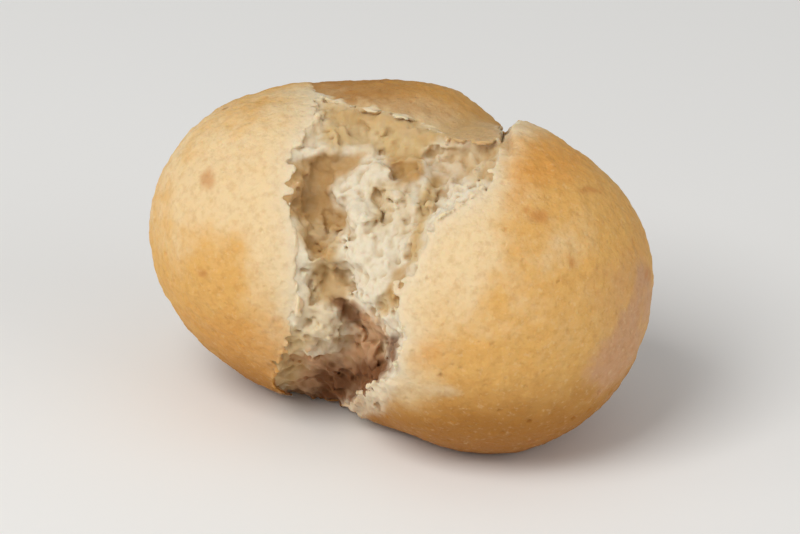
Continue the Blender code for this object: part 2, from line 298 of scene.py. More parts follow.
# Small scorched spots: sideways, height, and reach both ways in millimetres. The last one is
# painted shade in the small crack at the right edge of the tear.
SCORCHES = ((16.6, 5.9, 1.5, 1.2), (15.2, 6.6, 0.6, 0.5), (23.2, 9.0, 2.2, 0.5),
            (30.4, -1.2, 0.7, 1.0), (-24.2, -1.2, 0.8, 0.6), (-23.8, 10.4, 1.0, 1.6),
            (20.8, 0.4, 0.7, 0.8), (-0.3, -8.3, 0.5, 1.1))

# Two cracks in the crust, each given by its ends, sideways and height.
NOTCH = ((0.0122, 0.0145), (0.0139, 0.0185))  # where the right half parted from the hinge
NOTCH_WIDTH = 0.0008          # about half the width of its upper end
NOTCH_BACK = -0.0100          # how far out of the heart's plane it reaches down
SLIT = ((-0.0029, -0.0172), (-0.0018, -0.0187))  # a short slit in the lip
SLIT_WIDTH = 0.00035          # half its width
SLIT_DEPTH = 0.0014
NOTCH_ZONE = ((0.0100, 0.0160), (0.0130, 0.0300))  # carved within these, sideways and height
SLIT_ZONE = ((-0.0040, -0.0008), (-0.0200, -0.0160))

SHOULDER = (0.0153, 0.0172)   # the right half's torn shoulder stands up beside the gap, here
SHOULDER_RISE = 0.0010
SHOULDER_REACH = (0.0042, 0.0060)  # sideways and in height
SHOULDER_BACK = (-0.009, 0.001)    # and it rises out of the back between these

# The edge of the left half's crust where it laps over the hinge: sideways, height.
LAP_EDGE = (
    (-0.0125, 0.0245), (-0.0114, 0.0228), (-0.0105, 0.0213), (-0.0077, 0.0203),
    (-0.0062, 0.0197), (-0.0020, 0.0191), (0.0014, 0.0178), (0.0045, 0.0166),
    (0.0060, 0.0152), (0.0100, 0.0143), (0.0140, 0.0133),
)
LAP_STEP = 0.0003             # and stands this far above it
LAP_SHOWS = (0.0120, 0.0150)  # the step starts and is full at these heights
LAP_BACK = (-0.012, -0.002)   # and it fades away into the back between these
TOP_ZONE = ((-0.0200, 0.0400), (0.0100, 0.0300))  # the shoulder and the step lie within these
HINGE_LEFT = -0.0123          # the hinge's own crust lies between these, sideways
HINGE_RIGHT = 0.0136

# The tables of the tear's relief: lowest and highest corner, sideways and height, and their step.
RELIEF_LOW = (-0.0190, -0.0220)
RELIEF_HIGH = (0.0160, 0.0230)
RELIEF_STEP = 0.0002
RELAX_ROUNDS = 2500           # rounds that even out the skin stretched over the tear
SKIN_REACH = 0.034            # the crust is looked for up to this far out
HALVINGS = 22                 # and found by halving the span this often

# The grid that the dough is carved on, in the tear's axes.
GRID_LOW = (-0.0335, -0.0255, -0.0300)
GRID_HIGH = (0.0335, 0.0255, 0.0290)
GRID_FACTOR = 5               # the crust is worked out at every fifth place and refined
CRUST_BAND = 8                # the crust is shaped within this many steps of its surface
CREST_REACH = 8               # the crumb's crests and dips are looked for this many places off
ROUGH_REACH = 0.0018          # the crumb's roughness stays this near its relief
ROUGH_EDGE = -0.0020          # and starts this far outside the tear's edge
THREAD_SPAN = 7               # what fills too little of a block this many steps wide is a thread
THREAD_FILL = 0.20            # and this is too little
THREAD_SLOPE = 9              # how fast a thread fades away, in steps

BLUSH_TURN = (-0.0040, 0.0050)  # the blush fades round the flank between these
UNDERSIDE_TOP = 0.0130        # the underside is darker below this height above the floor: browner from frying, and painted shade
UNDERSIDE_RISE = 0.0054       # and this much higher on the right half, for more painted shade there
UNDERSIDE_RUN = 0.0105        # it darkens over this much height
CUP_ROUNDS = 12               # rounds of smoothing, against which a dent is told from a bump

TARGET = Vector((0, 0, 0.019))  # where the camera and the lights point
LIGHT_DISTANCE = 0.9
# Soft square lights: azimuth from the camera's side, elevation, width, watts and tint.
LIGHTS = {
    "key": (-40, 50, 0.5, 4.9, (1.0, 0.985, 0.96)),
    "left fill": (-75, 12, 0.5, 1.5, (1.0, 0.985, 0.96)),
    "right fill": (55, 20, 0.6, 1.9, (1.0, 0.99, 0.98)),
}
AIR_LIGHT = 0.37
FLOOR_REACH = 6.0

HEART = np.array((0, 0, HEART_HEIGHT))
LEFT_PLACE = np.array((-HALF_SPREAD, HALF_TURN, HALF_TIP))
RIGHT_PLACE = np.array((HALF_SPREAD, -HALF_TURN, -HALF_TIP))
PULL = (RIGHT_PLACE - LEFT_PLACE) / np.linalg.norm(RIGHT_PLACE - LEFT_PLACE)

# The tear's own axes: sideways, up along the tear, and out of it.
TEAR_AXES = np.array(
    (
        (1, 0, 0),
        (0, math.sin(TEAR_TILT), math.cos(TEAR_TILT)),
        (0, -math.cos(TEAR_TILT), math.sin(TEAR_TILT)),
    )
)


# --- Settings --------------------------------------------------------------------------------------


def length(name, description, default):
    return bpy.props.FloatProperty(
        name=name, description=description, default=default, unit="LENGTH", precision=5
    )


def colour(name, description, default):
    return bpy.props.FloatVectorProperty(
        name=name, description=description, default=default, subtype="COLOR", size=3, min=0, max=1
    )


class DoughBallShape(bpy.types.PropertyGroup):
    grid_step: length("Grid step", "Spacing of the grid that the tear is carved on", 0.00022)
    crust_thickness: length("Crust thickness", "Browned skin over the crumb", 0.00045)
    ragged: length("Ragged edge", "How far the torn edge wanders", 0.0009)
    clump_size: length("Clump size", "Width of the crumb's larger clumps", 0.0040)
    clump_relief: length("Clump relief", "How far the clumps stand out", 0.0008)
    lump_size: length("Lump size", "Width of the crumb's small lumps", 0.0019)
    lump_relief: length("Lump relief", "How far the small lumps stand out", 0.00055)
    grain_relief: length("Grain relief", "Fine roughness of the crumb", 0.00021)
    pebble_relief: length("Pebble relief", "Fine unevenness of the crust", 0.00016)
    most_triangles: bpy.props.IntProperty(
        name="Most triangles", description="Triangles kept in all", default=196000, min=20000
    )


class DoughBallFinish(bpy.types.PropertyGroup):
    golden: colour("Golden crust", "Crust away from the tear", (0.70, 0.398, 0.120))
    cream: colour("Pale crust", "Crust beside the tear", (0.77, 0.585, 0.335))
    toasted: colour("Toasted crust", "Crust where it fried longer", (0.69, 0.315, 0.068))
    # Browned crust of the hinge and underside; underneath it also lays painted shade.
    browned: colour("Browned crust", "Crust of the hinge and underside", (0.40, 0.172, 0.028))
    blush: colour("Blush", "Patch of the right flank, duller and pinker", (0.57, 0.318, 0.172))
    scorch: colour("Scorched spots", "Few larger spots", (0.50, 0.20, 0.05))
    speck: colour("Specks", "Small overbrowned specks", (0.30, 0.11, 0.03))
    crumb: colour("Crumb", "Torn crumb", (0.74, 0.655, 0.495))
    # Painted warm shade for the hollows, pits and crevices; the crumb's brown spots take this colour
    # too.
    hollow: colour("Hollows", "Crumb down in the hollows", (0.48, 0.28, 0.098))
    # Partly the tan of peeled skin, partly painted shade beside the crevices.
    tan: colour(
        "Tan crumb", "Where the crust peeled off, and beside the crevices", (0.585, 0.41, 0.185)
    )
    # Partly the crumb's own darker colour, partly painted shade.
    foot: colour("Foot of the tear", "Darker crumb low in the tear", (0.52, 0.285, 0.142))
    # Painted shadow low in the tear, over crumb that is a little darker there.
    crumb_shadow: colour("Burnt crumb", "Crumb under the edges, lowest in the tear", (0.145, 0.053, 0.016))


class StudioSettings(bpy.types.PropertyGroup):
    floor: colour("Floor", "Plain pale floor", (0.86, 0.86, 0.85))
    elevation: bpy.props.FloatProperty(
        name="Camera elevation",
        description="Height of the view above the level",
        default=TEAR_TILT,
        subtype="ANGLE",
    )
    camera_distance: length("Camera distance", "From the ball to the camera", 0.70)
    view_width: length("View width", "Width seen at the ball", 0.100)


# --- Fields ----------------------------------------------------------------------------------------


def smooth_step(low, high, value):
    share = np.clip((value - low) / (high - low), 0, 1)
    return share * share * (3 - 2 * share)


def from_tear_axes(points):
    return points @ TEAR_AXES + HEART


def exit_distance(ways, place, radius, stretch=1.0):
    """How far from the heart a line each way leaves a lobe, which may be stretched along the pull."""
    squeeze = 1 / stretch - 1
    ways = ways + (ways @ PULL)[:, None] * PULL * squeeze
    place = place + (place @ PULL) * PULL * squeeze
    along = ways @ place
    size = (ways * ways).sum(axis=1)
    spare = along * along - size * (place @ place - radius * radius)
    return (along + np.sqrt(spare)) / size


def crust_distance(ways):
    """Distance from the heart to the crust: the three lobes melted together, then swelled."""
    lobes = np.stack(
        (
            exit_distance(ways, LEFT_PLACE, LEFT_RADIUS),
            exit_distance(ways, RIGHT_PLACE, RIGHT_RADIUS),
            exit_distance(ways, np.array(HINGE_PLACE), HINGE_RADIUS, HINGE_STRETCH),
        )
    )
    widest = lobes.max(axis=0)
    melted = widest * ((lobes / widest) ** BLEND_POWER).sum(axis=0) ** (1 / BLEND_POWER)
    for facing, height, spread in CRUST_FORMS:
        facing = np.array(facing) / np.linalg.norm(facing)
        turn = np.arccos(np.clip(ways @ facing, -1, 1))
        melted += height * np.exp(-((turn / spread) ** 2))
    return melted


def skin_depth(points):
    """How far inside the crust each point in tear axes is, along its line from the heart."""
    reach = np.linalg.norm(points, axis=1)
    ways = points @ TEAR_AXES / np.maximum(reach, 1e-9)[:, None]
    return crust_distance(ways) - reach


def noise_at(points, size, basis="PERLIN_ORIGINAL", shift=0.0):
    """Blender's noise at each point, for features about this size."""
    places = (points / size + shift).tolist()
    return np.fromiter(
        (noise.noise(place, noise_basis=basis) for place in places), np.float32, len(places)
    )


def rounded(noise_values, crease=0.10):
    """How far noise is from zero, with the crease at zero rounded off."""
    return np.sqrt(noise_values**2 + crease**2) - crease


def edge_at(edge, where):
    places, values = zip(*edge)
    return np.interp(where, places, values)


def tear_inset(side, height):
    """How far inside the tear's outline each place is, and below zero how far outside it."""
    inset = np.minimum(side - edge_at(LEFT_EDGE, height), edge_at(RIGHT_EDGE, height) - side)
    inset = np.minimum(inset, edge_at(TOP_EDGE, side) - height)
    return np.minimum(inset, height - LEFT_EDGE[0][0])


def outline_inset(side, height, outline):
    """How far inside a closed outline each place is, negative outside. The outline is in mm."""
    nearest = np.full(side.shape, np.inf)
    inside = np.zeros(side.shape, bool)
    corners = np.array(outline) / 1000
    for (x, y), (next_x, next_y) in zip(corners, np.roll(corners, -1, axis=0)):
        run_x, run_y = next_x - x, next_y - y
        share = ((side - x) * run_x + (height - y) * run_y) / (run_x**2 + run_y**2)
        share = np.clip(share, 0, 1)
        nearest = np.minimum(nearest, np.hypot(side - x - share * run_x, height - y - share * run_y))
        if run_y:
            crossing = x + (height - y) * run_x / run_y
            inside ^= ((height < y) != (height < next_y)) & (side < crossing)
    return np.where(inside, nearest, -nearest)


def flush_share(side, height):
    """1 where the crumb runs flush into the crust: at the left foot and the top left corner."""
    ends = smooth_step(*FLUSH_FOOT, height) + smooth_step(*FLUSH_CORNER, height)
    between = smooth_step(*FLUSH_STRETCH, height) * smooth_step(*FLUSH_BETWEEN, side)
    return np.maximum(ends * smooth_step(*FLUSH_ENDS, side), 0.65 * between)


def crumb_depth(side, height):
    """How far the torn crumb lies under a skin stretched over the tear."""
    inset = tear_inset(side, height)
    below_top = smooth_step(0, TOP_RUN, edge_at(TOP_EDGE, side) - height)
    flush = flush_share(side, height)
    edge = EDGE_DROP * smooth_step(0, 0.0003, inset) * below_top * (1 - flush)
    run = DROP_RUN * (1 + flush)
    drop = (CRUMB_DROP - EDGE_DROP) * (1 - 0.6 * flush)
    depth = edge + drop * smooth_step(0, run, inset) * below_top
    for drop, wall, outline in CRUMB_FORMS.values():
        half = wall / 2000
        share = smooth_step(-half, half, outline_inset(side, height, outline))
        depth = depth + drop / 1000 * share * smooth_step(0, WALL_RUN, inset)
    under_lap = (LAP_STEP + 0.0002) * (1 - below_top) * smooth_step(-0.0115, -0.0095, side)
    return np.maximum(depth, edge) + under_lap


def skin_out(side, height):
    """How far out of the heart's plane the crust is, or would be if it weren't torn."""
    low, high = np.full(side.shape, 2 * TEAR_BACK), np.full(side.shape, SKIN_REACH)
    for _ in range(HALVINGS):
        out = (low + high) / 2
        points = np.stack((side, height, out), axis=-1).reshape(-1, 3)
        inside = (skin_depth(points) > 0).reshape(side.shape)
        low, high = np.where(inside, out, low), np.where(inside, high, out)
    return low


def refined(values, factor):
    """A grid of values made finer by straight interpolation along each axis."""
    for axis in range(values.ndim):
        steps = np.arange((values.shape[axis] - 1) * factor + 1) / factor
        low = np.minimum(steps.astype(int), values.shape[axis] - 2)
        share = (steps - low).astype(np.float32)
        share = share.reshape([-1 if each == axis else 1 for each in range(values.ndim)])
        below = np.take(values, low, axis=axis)
        values = below + (np.take(values, low + 1, axis=axis) - below) * share
    return values


def bilinear(table, side, height):
    """Values of one of the relief's tables at these places."""
    column = np.clip((side - RELIEF_LOW[0]) / RELIEF_STEP, 0, table.shape[0] - 1.001)
    row = np.clip((height - RELIEF_LOW[1]) / RELIEF_STEP, 0, table.shape[1] - 1.001)
    i, j = column.astype(int), row.astype(int)
    u, v = column - i, row - j
    lower = table[i, j] * (1 - u) + table[i + 1, j] * u
    upper = table[i, j + 1] * (1 - u) + table[i + 1, j + 1] * u
    return lower * (1 - v) + upper * v


def tear_relief():
    """Tables over the tear, seen square on: the stretched skin, the crumb and its steepness."""
    coarse = RELIEF_STEP * 2
    spans = [np.arange(low, high, coarse) for low, high in zip(RELIEF_LOW, RELIEF_HIGH)]
    side, height = np.meshgrid(*spans, indexing="ij")
    stretched = skin_out(side, height)
    free = tear_inset(side, height) > 0
    free[[0, -1]] = False
    free[:, [0, -1]] = False
    for _ in range(RELAX_ROUNDS):
        around = np.zeros_like(stretched)
        around[1:-1, 1:-1] = (
            stretched[2:, 1:-1] + stretched[:-2, 1:-1] + stretched[1:-1, 2:] + stretched[1:-1, :-2]
        ) / 4
        stretched = np.where(free, around, stretched)
    stretched = refined(stretched, 2)
    spans = [low + RELIEF_STEP * np.arange(n) for low, n in zip(RELIEF_LOW, stretched.shape)]
    side, height = np.meshgrid(*spans, indexing="ij")
    crumb = stretched - crumb_depth(side, height)
    slopes = np.gradient(crumb, RELIEF_STEP)
    steep = np.sqrt(1 + slopes[0] ** 2 + slopes[1] ** 2)
    return stretched, crumb, steep


def spread_extreme(table, reach, pick):
    """The highest or lowest value within a reach of each place, for pick np.maximum or np.minimum."""
    for axis in (0, 1):
        found = table
        for shift in range(1, reach + 1):
            for way in (-shift, shift):
                found = pick(found, np.roll(table, way, axis=axis))
        table = found
    return table


def in_zone(side, height, zone):
    (left, right), (low, high) = zone
    return (side > left) & (side < right) & (height > low) & (height < high)


def off_line(side, height, ends):
    """How far along a line each place is, from 0 to 1, and how far off it."""
    start, end = (np.array(place) for place in ends)
    run = end - start
    share = ((side - start[0]) * run[0] + (height - start[1]) * run[1]) / (run @ run)
    share = np.clip(share, 0, 1)
    return share, np.hypot(side - start[0] - share * run[0], height - start[1] - share * run[1])


def crack_openness(points):
    """The gap over the top where the right half parted from the hinge, and the slit in the lip."""
    side, height, out = points.T
    flutter = 0.0003 * noise_at(points, 0.0010, shift=103.0)
    wander = 0.0007 * noise_at(points, 0.0030, shift=101.0) + flutter
    share, off = off_line(side + wander, height, NOTCH)
    width = NOTCH_WIDTH * (0.05 + 1.25 * share) * smooth_step(NOTCH_BACK, 0.0, out)
    notch = np.minimum(width - off, out - NOTCH_BACK)
    share, off = off_line(side + 0.5 * flutter, height, SLIT)
    floor = skin_out(*np.array(SLIT).mean(axis=0)[:, None])[0] - SLIT_DEPTH
    return np.maximum(notch, np.minimum(SLIT_WIDTH - off, out - floor))


def hinge_share(points, soft):
    """1 on the hinge's own crust, behind the left half's edge. It blurs away towards the back."""
    side, height, out = points.T
    edge = edge_at(LAP_EDGE, side) + 0.0009 * noise_at(points, 0.0022, shift=91.0)
    edge += 0.0004 * noise_at(points, 0.0008, shift=97.0)
    beyond = smooth_step(-0.0001, 0.0003, height - edge)
    beyond = np.maximum(beyond, smooth_step(-0.003, -0.011, out))
    behind = np.clip(-out / 0.016, 0, 1)
    blur = 0.0003 + soft * behind
    wander = (0.0006 + 0.006 * behind) * noise_at(points, 0.0070, shift=107.0)
    left = smooth_step(-blur, blur, side - HINGE_LEFT + wander + 0.4 * soft * behind)
    right = smooth_step(-blur, blur, HINGE_RIGHT - side + wander + 0.4 * soft * behind)
    return beyond * left * right


def shoulder_rise(points):
    """How far the right half's shoulder stands above the melted form."""
    side, height, out = points.T
    past_gap = smooth_step(-0.0002, 0.0003, side - NOTCH[1][0] + 0.0004)
    reach_side, reach_height = SHOULDER_REACH
    off = np.hypot((side - SHOULDER[0]) / reach_side, (height - SHOULDER[1]) / reach_height)
    return SHOULDER_RISE * past_gap * np.exp(-(off**2)) * smooth_step(*SHOULDER_BACK, out)


def lap_step(points):
    """How far down the step from the left half's crust to the hinge each point is, from 0 to 1."""
    shown = hinge_share(points, 0.004) * smooth_step(*LAP_SHOWS, points[:, 1])
    return shown * smooth_step(*LAP_BACK, points[:, 2])


def crust_depth(points):
    """How far under the crust's surface each point is."""
    return skin_depth(points) + shoulder_rise(points) - LAP_STEP * lap_step(points)


def wandered(points, shape):
    """Each point moved a little, so that the tear's edges and hollows come out ragged."""
    wander = np.stack(
        [noise_at(points, 0.0034, shift=shift) for shift in (11.3, 27.9, 53.1)], axis=1
    )
    flutter = np.stack([noise_at(points, 0.0012, shift=shift) for shift in (71.7, 93.3)], axis=1)
    fray = np.stack([noise_at(points, 0.0006, shift=shift) for shift in (17.1, 39.9)], axis=1)
    moved = points + wander * shape.ragged
    moved[:, :2] += (flutter + 0.4 * fray) * shape.ragged
    return moved


def smooth_hollow(side, height):
    """1 in the hollows painted in warm shade, where the torn dough is smoother."""
    insets = [outline_inset(side, height, outline) for _, _, outline in TINTS["hollow"]]
    return smooth_step(-0.0008, 0.0008, np.max(insets, axis=0))


def tear_openness(points, shape, crumb, steep):
    """Positive in the opened tear and negative in dough, as a distance. Points are in tear axes."""
    side, height, out = wandered(points, shape).T
    inset = tear_inset(side, height)
    above = (out - bilinear(crumb, side, height)) / bilinear(steep, side, height)
    rough = 0.0012 * noise_at(points, 0.0060, shift=45.0)
    rough += shape.clump_relief * (0.5 - 2 * rounded(noise_at(points, shape.clump_size, shift=5.0)))
    lumps = noise_at(points, shape.lump_size, shift=15.0)
    rough += shape.lump_relief * (0.7 * lumps - 1.2 * rounded(lumps) + 0.3)
    rough += shape.grain_relief * (0.4 - 2 * rounded(noise_at(points, 0.0010, shift=35.0)))
    rough *= 0.15 + 0.85 * smooth_step(0.0002, 0.0028, inset)
    rough *= (1 - 0.75 * flush_share(side, height)) * (1 - 0.45 * smooth_hollow(side, height))
    return np.maximum(np.minimum(inset, above + rough), crack_openness(points))


def tinted(points, tint):
    """How strongly each point takes a tint, with a ragged edge to its outlines."""
    ragged = noise_at(points, 0.0030, shift=81.0) + 0.5 * noise_at(points, 0.0009, shift=87.0)
    back = np.where(points[:, 1] < 0, 2.5 * TEAR_BACK, TEAR_BACK)
    strongest = np.zeros(len(points))
    for strength, fade, outline in TINTS[tint]:
        fade = fade / 1000
        inset = outline_inset(points[:, 0], points[:, 1], outline) + fade * ragged
        strongest = np.maximum(strongest, strength * smooth_step(-fade, fade, inset))
    return strongest * (points[:, 2] > back)


def crust_relief(points, shape):
    """Long waves, pebbles, grain and a few pinholes of the crust, outwards."""
    relief = 0.00022 * noise_at(points, 0.0110, shift=3.0)
    relief += 0.00014 * noise_at(points, 0.0040, shift=13.0)
    relief += shape.pebble_relief * noise_at(points, 0.0014, shift=23.0)
    relief += 0.5 * shape.pebble_relief * noise_at(points, 0.0007, shift=33.0)
    holes = noise_at(points, 0.0030, "VORONOI_F1", 43.0)
    seldom = smooth_step(0.05, 0.30, noise_at(points, 0.0070, shift=63.0))
    relief -= 0.00035 * smooth_step(-0.70, -0.88, holes) * seldom
    torn = tinted(points, "lip")
    lumps = 0.5 - 2 * np.abs(noise_at(points, shape.lump_size, shift=15.0))
    return relief - torn * (shape.lump_relief * lumps + 0.0002 * noise_at(points, 0.0006, shift=35.0))


# --- Mesh ------------------------------------------------------------------------------------------


def without_threads(depth, step):
    """The dough without the threads and thin flakes that the crumb's roughness leaves in the air."""
    filled = (depth > 0).astype(np.float32)
    half = THREAD_SPAN // 2
    for axis in range(3):
        total = np.cumsum(np.moveaxis(filled, axis, 0), axis=0, dtype=np.float32)
        spread = np.zeros_like(total)
        spread[half + 1 : -half] = (total[THREAD_SPAN:] - total[:-THREAD_SPAN]) / THREAD_SPAN
        filled = np.moveaxis(spread, 0, axis)
    thick = (filled - THREAD_FILL) * THREAD_SLOPE * step
    return np.where(depth > 0, np.minimum(depth, thick), depth)


def dough_field(shape, crumb, steep):
    """The dough as a grid of depths, positive inside, with the grid's lowest corner in tear axes."""
    coarse = shape.grid_step * GRID_FACTOR
    low = np.array(GRID_LOW)
    counts = np.ceil((np.array(GRID_HIGH) - low) / coarse).astype(int) + 1
    corners = np.stack(np.meshgrid(*(np.arange(count) for count in counts), indexing="ij"), axis=-1)
    points = corners.reshape(-1, 3) * coarse + low
    depth = refined(skin_depth(points).reshape(counts).astype(np.float32), GRID_FACTOR)

    axes = [
        np.arange(size, dtype=np.float32) * shape.grid_step + start
        for size, start in zip(depth.shape, low)
    ]
    side, height, out = np.meshgrid(*axes, indexing="ij", sparse=True)

    near_crust = np.abs(depth) < CRUST_BAND * shape.grid_step
    index = np.nonzero(near_crust & in_zone(side, height, TOP_ZONE))
    band = np.stack([axis[i] for axis, i in zip(axes, index)], axis=1)
    depth[index] += shoulder_rise(band) - LAP_STEP * lap_step(band)

    across, along = side[:, :, 0], height[:, :, 0]
    inset = tear_inset(across, along)[:, :, None].astype(np.float32)
    dips, crests = (spread_extreme(crumb, CREST_REACH, pick) for pick in (np.minimum, np.maximum))
    middle, lowest, highest = (
        bilinear(table, across, along).astype(np.float32)[:, :, None]
        for table in (crumb, dips, crests)
    )
    depth = depth + CLUMP_ROOM * np.clip(inset / ROOM_RUN, 0, 1) * (out > TEAR_BACK)
    openness = np.minimum(inset, out - middle)
    inside = depth > -2 * shape.grid_step
    rough = (out > lowest - ROUGH_REACH) & (out < highest + ROUGH_REACH) & (inset > ROUGH_EDGE)
    notched = in_zone(side, height, NOTCH_ZONE) & (out > NOTCH_BACK - 0.0010)
    slit = in_zone(side, height, SLIT_ZONE) & (out > 0)
    index = np.nonzero((rough | notched | slit) & inside)
    band = np.stack([axis[i] for axis, i in zip(axes, index)], axis=1).astype(float)
    openness[index] = tear_openness(band, shape, crumb, steep)
    depth = without_threads(np.minimum(depth, -openness), shape.grid_step)

    floor_height = HEART_HEIGHT + height * math.cos(TEAR_TILT) + out * math.sin(TEAR_TILT)
    return np.minimum(depth, floor_height), low


def largest_part(points, faces):
    """The one body that the faces make, without the loose bits and the closed pores."""
    label = np.arange(len(points))
    edges = np.concatenate([faces[:, [0, 1]], faces[:, [1, 2]], faces[:, [2, 3]], faces[:, [3, 0]]])
    while True:
        lowest = np.minimum(label[edges[:, 0]], label[edges[:, 1]])
        fresh = label.copy()
        np.minimum.at(fresh, edges[:, 0], lowest)
        np.minimum.at(fresh, edges[:, 1], lowest)
        fresh = fresh[fresh]
        if (fresh == label).all():
            break
        label = fresh
    main = np.bincount(label).argmax()
    kept = label == main
    renumbered = np.cumsum(kept) - 1
    faces = faces[kept[faces[:, 0]]]
    return points[kept], renumbered[faces]


def mesh_from(name, points, faces):
    mesh = bpy.data.meshes.new(name)
    corners = faces.shape[1]
    mesh.vertices.add(len(points))
    mesh.vertices.foreach_set("co", points.astype(np.float32).ravel())
    mesh.loops.add(faces.size)
    mesh.loops.foreach_set("vertex_index", faces.astype(np.int32).ravel())
    mesh.polygons.add(len(faces))
    mesh.polygons.foreach_set("loop_start", np.arange(0, faces.size, corners, dtype=np.int32))
    mesh.update(calc_edges=True)
    mesh.validate()
    return mesh


def read_mesh(mesh):
    mesh.calc_loop_triangles()
    points = np.empty(len(mesh.vertices) * 3, np.float32)
    mesh.vertices.foreach_get("co", points)
    faces = np.empty(len(mesh.loop_triangles) * 3, np.int32)
    mesh.loop_triangles.foreach_get("vertices", faces)
    return points.reshape(-1, 3).astype(float), faces.reshape(-1, 3)


def vertex_normals(points, faces):
    corners = points[faces]
    facing = np.cross(corners[:, 1] - corners[:, 0], corners[:, 2] - corners[:, 0])
    normals = np.zeros_like(points)
    for corner in range(3):
        np.add.at(normals, faces[:, corner], facing)
    return normals / np.maximum(np.linalg.norm(normals, axis=1), 1e-20)[:, None]


def add_object(name, data):
    made = bpy.data.objects.new(name, data)
    bpy.context.scene.collection.objects.link(made)
    return made


def thinned(points, faces, most_triangles):
    """The same body as about this many triangles."""
    obj = add_object("dough_skin", mesh_from("dough_skin", points, faces))
    fewer = obj.modifiers.new("fewer faces", "DECIMATE")
    fewer.ratio = min(1.0, most_triangles / (2 * len(faces)))
    fewer.use_collapse_triangulate = True
    evaluated = obj.evaluated_get(bpy.context.evaluated_depsgraph_get())
    points, faces = read_mesh(evaluated.to_mesh())
    evaluated.to_mesh_clear()
    mesh = obj.data
    bpy.data.objects.remove(obj, do_unlink=True)
    bpy.data.meshes.remove(mesh)
    return points, faces


def raised(points, outwards, shape):
    """The points with the crust's own relief, which the tear and the seat don't take."""
    thick = shape.crust_thickness
    on_crust = smooth_step(1.0 * thick, 0.3 * thick, crust_depth(points))
    off_seat = smooth_step(0.0, 0.0015, from_tear_axes(points)[:, 2])
    in_tear = smooth_step(0, 0.0006, tear_inset(points[:, 0], points[:, 1]))
    on_crust *= 1 - in_tear * (points[:, 2] > TEAR_BACK)
    return points + outwards * (crust_relief(points, shape) * on_crust * off_seat)[:, None]


def skinned_dough(shape, crumb, steep):
    """The whole torn ball as points in tear axes and triangles."""
    depth, low = dough_field(shape, crumb, steep)
    grid = openvdb.FloatGrid(-1.0)
    grid.copyFromArray(depth)
    points, _, faces = grid.convertToPolygons(isovalue=0.0, adaptivity=0.0)
    points, faces = largest_part(points * shape.grid_step + low, faces.astype(np.int64))
    triangles = np.concatenate([faces[:, :3], faces[:, [0, 2, 3]]])
    corners = points[triangles]
    volume = np.einsum("ij,ij->i", corners[:, 0], np.cross(corners[:, 1], corners[:, 2])).sum()
    outwards = vertex_normals(points, triangles) * (1 if volume > 0 else -1)
    points, faces = thinned(raised(points, outwards, shape), faces, shape.most_triangles)
    return points, faces if volume > 0 else faces[:, ::-1]


# --- Colour layers ---------------------------------------------------------------------------------


def along_edge(edge, gap=0.00025):
    """Places at an even gap along a torn edge."""
    corners = np.array(edge)
    reach = np.append(0, np.cumsum(np.hypot(*np.diff(corners, axis=0).T)))
    steps = np.linspace(0, reach[-1], int(reach[-1] / gap))
    return np.stack([np.interp(steps, reach, column) for column in corners.T], axis=1)


def rim_distance(points):
    """How far each point is from the torn edge of the crust."""
    halves = [along_edge(edge)[:, ::-1] for edge in (LEFT_EDGE, RIGHT_EDGE)]
    rim = np.concatenate([*halves, along_edge(TOP_EDGE)])
    rim = np.column_stack((rim, skin_out(*rim.T)))
    tree = kdtree.KDTree(len(rim))
    for number, place in enumerate(rim.tolist()):
        tree.insert(place, number)
    tree.balance()
    return np.array([tree.find(point)[2] for point in points.tolist()])


def torn_share(points, shape):
    """1 on torn crumb and 0 on crust."""
    side, height, out = wandered(points, shape).T
    inset = tear_inset(side, height)
    in_tear = smooth_step(-0.0001, 0.0005, inset) * (out > TEAR_BACK)
    notched = in_zone(points[:, 0], points[:, 1], NOTCH_ZONE)
    under_crust = smooth_step(0.3, 0.9, crust_depth(points) / shape.crust_thickness)
    return np.maximum(in_tear, under_crust * ((inset > -0.0012) | notched))


def cupped(points, faces):
    """How far each point lies in a dent, or below zero on a bump, about a millimetre across."""
    edges = np.concatenate([faces[:, [0, 1]], faces[:, [1, 2]], faces[:, [2, 0]]])
    count = np.bincount(edges[:, 0], minlength=len(points))[:, None]
    smoothed = points
    for _ in range(CUP_ROUNDS):
        around = [np.bincount(edges[:, 0], column[edges[:, 1]], len(points)) for column in smoothed.T]
        smoothed = (smoothed + np.stack(around, axis=1) / count) / 2
    return ((smoothed - points) * vertex_normals(points, faces)).sum(axis=1)


def toasting_and_highlight(points):
    """How much browner the crust is at each point, or paler below zero. One pale spot is a painted
    highlight.
    """
    side, height = points[:, 0] * 1000, points[:, 1] * 1000
    brown = np.zeros(len(points))
    for at_side, at_height, reach_side, reach_height, amount in TOASTING_AND_HIGHLIGHT:
        off = ((side - at_side) / reach_side) ** 2 + ((height - at_height) / reach_height) ** 2
        brown += amount * np.exp(-off)
    in_front = smooth_step(-0.012, 0.0, points[:, 2])
    return brown * in_front + 0.35 * (1 - in_front)


def underside(points):
    """0 above the underside's browning and painted shade, 1 well into it; higher on the right half.
    """
    start = UNDERSIDE_TOP + UNDERSIDE_RISE * smooth_step(-0.010, 0.008, points[:, 0])
    return (start - from_tear_axes(points)[:, 2]) / UNDERSIDE_RUN


def hinge_brown(points):
    """How browned each point is by being the hinge's own crust. It fades down the back."""
    side, up, out = points.T
    height = from_tear_axes(points)[:, 2] + 0.006 * noise_at(points, 0.0090, shift=109.0)
    down_back = np.where(out > -0.002, 1.0, smooth_step(0.006, 0.034, height))
    near_top = smooth_step(0.0105, 0.0140, up - 0.9 * np.minimum(out, 0))
    lighter_right = 1 - 0.50 * smooth_step(-0.005, 0.008, side)
    return hinge_share(points, 0.012) * down_back * near_top * lighter_right


